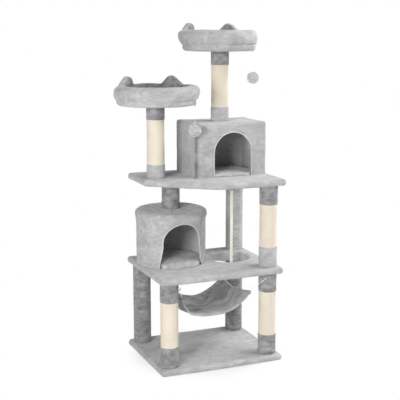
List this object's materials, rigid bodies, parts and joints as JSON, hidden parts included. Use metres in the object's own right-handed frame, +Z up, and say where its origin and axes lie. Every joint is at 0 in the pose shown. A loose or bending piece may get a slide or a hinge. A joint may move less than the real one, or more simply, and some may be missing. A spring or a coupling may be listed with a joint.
{
  "type": "cat tree",
  "caption": "Tall free-standing cat tree: plush plates on sisal posts with condos, round perches, a hammock, a rope and hanging pom-poms.",
  "frame": {"origin": "centre of the base plate's underside", "axes": "+Z up, +X to the right along the front, -Y to the front, where the condo doors are"},
  "size_m": [0.7399, 0.497, 1.5778],
  "materials": {
    "plush": "short pile silver grey plush",
    "sisal": "pale sisal rope, wound",
    "particle_board": "raw particle board",
    "paperboard": "spiral paperboard tube",
    "plug_wood": "turned softwood",
    "zinc_steel": "bright zinc plated",
    "hammock_plush": "plush, doubled",
    "white_cord": "braided white cord",
    "pompom_yarn": "cut grey yarn",
    "sisal_rope": "three strand twisted"
  },
  "bodies": {
    "tower": {"base_board": "particle_board", "base_bolts": "zinc_steel", "base_cover": "plush", "box_condo_back_panel": "particle_board", "box_condo_cover": "plush", "box_condo_floor": "plush", "box_condo_front_panel": "particle_board", "box_condo_roof_panel": "particle_board", "box_condo_side_panels": "particle_board", "condo_floor_screws": "zinc_steel", "condo_post_sleeve": "plush", "hammock_cloth": "hammock_plush", "hammock_left_cord": "white_cord", "hammock_right_cord": "white_cord", "joint_studs": "zinc_steel", "left_perch_board": "particle_board", "left_perch_cover": "plush", "left_perch_post_foot_sleeve": "plush", "left_perch_post_head_sleeve": "plush", "left_perch_post_sisal": "sisal", "left_perch_rim": "plush", "lower_back_left_post_sleeve": "plush", "lower_back_right_post_sleeve": "plush", "lower_front_left_post_foot_sleeve": "plush", "lower_front_left_post_head_sleeve": "plush", "lower_front_left_post_sisal": "sisal", "lower_front_right_post_foot_sleeve": "plush", "lower_front_right_post_head_sleeve": "plush", "lower_front_right_post_sisal": "sisal", "middle_board": "particle_board", "middle_cover": "plush", "post_end_plugs": "plug_wood", "post_tubes": "paperboard", "round_condo_cover": "plush", "round_condo_floor": "plush", "round_condo_roof_board": "particle_board", "round_condo_roof_cover": "plush", "round_condo_wall": "particle_board", "screw_eyes": "zinc_steel", "top_perch_board": "particle_board", "top_perch_cover": "plush", "top_perch_post_foot_sleeve": "plush", "top_perch_post_head_sleeve": "plush", "top_perch_post_sisal": "sisal", "top_perch_rim": "plush", "upper_back_post_sleeve": "plush", "upper_board": "particle_board", "upper_cover": "plush", "upper_front_post_foot_sleeve": "plush", "upper_front_post_head_sleeve": "plush", "upper_front_post_sisal": "sisal"},
    "rope_link": {"rope_ring": "zinc_steel"},
    "rope_body": {"rope": "sisal_rope", "rope_ferrule": "zinc_steel"},
    "left_pompom_link": {"left_pompom_ring": "zinc_steel"},
    "left_pompom_body": {"left_pompom_string": "white_cord", "left_pompom_ball": "pompom_yarn"},
    "top_pompom_link": {"top_pompom_ring": "zinc_steel"},
    "top_pompom_body": {"top_pompom_string": "white_cord", "top_pompom_ball": "pompom_yarn"}
  },
  "joints": [
    {"name": "rope_sway", "type": "hinge", "parent": "tower", "child": "rope_link", "pos_m": [0.165, 0.042, 0.823], "axis": [1, 0, 0], "range_deg": [-7, 7]},
    {"name": "rope_swing", "type": "hinge", "parent": "rope_link", "child": "rope_body", "pos_m": [0.165, 0.042, 0.814], "axis": [0, 1, 0], "range_deg": [-7, 7]},
    {"name": "left_pompom_sway", "type": "hinge", "parent": "tower", "child": "left_pompom_link", "pos_m": [-0.0812, -0.09255, 1.215], "axis": [0.7581, -0.6521, 0], "range_deg": [-50, 4]},
    {"name": "left_pompom_swing", "type": "hinge", "parent": "left_pompom_link", "child": "left_pompom_body", "pos_m": [-0.0812, -0.09255, 1.206], "axis": [0.6521, 0.7581, 0], "range_deg": [-50, 50]},
    {"name": "top_pompom_sway", "type": "hinge", "parent": "tower", "child": "top_pompom_link", "pos_m": [0.21092, -0.08405, 1.457], "axis": [0.5606, -0.8281, 0], "range_deg": [-50, 50]},
    {"name": "top_pompom_swing", "type": "hinge", "parent": "top_pompom_link", "child": "top_pompom_body", "pos_m": [0.21092, -0.08405, 1.448], "axis": [0.8281, 0.5606, 0], "range_deg": [-50, 50]}
  ]
}
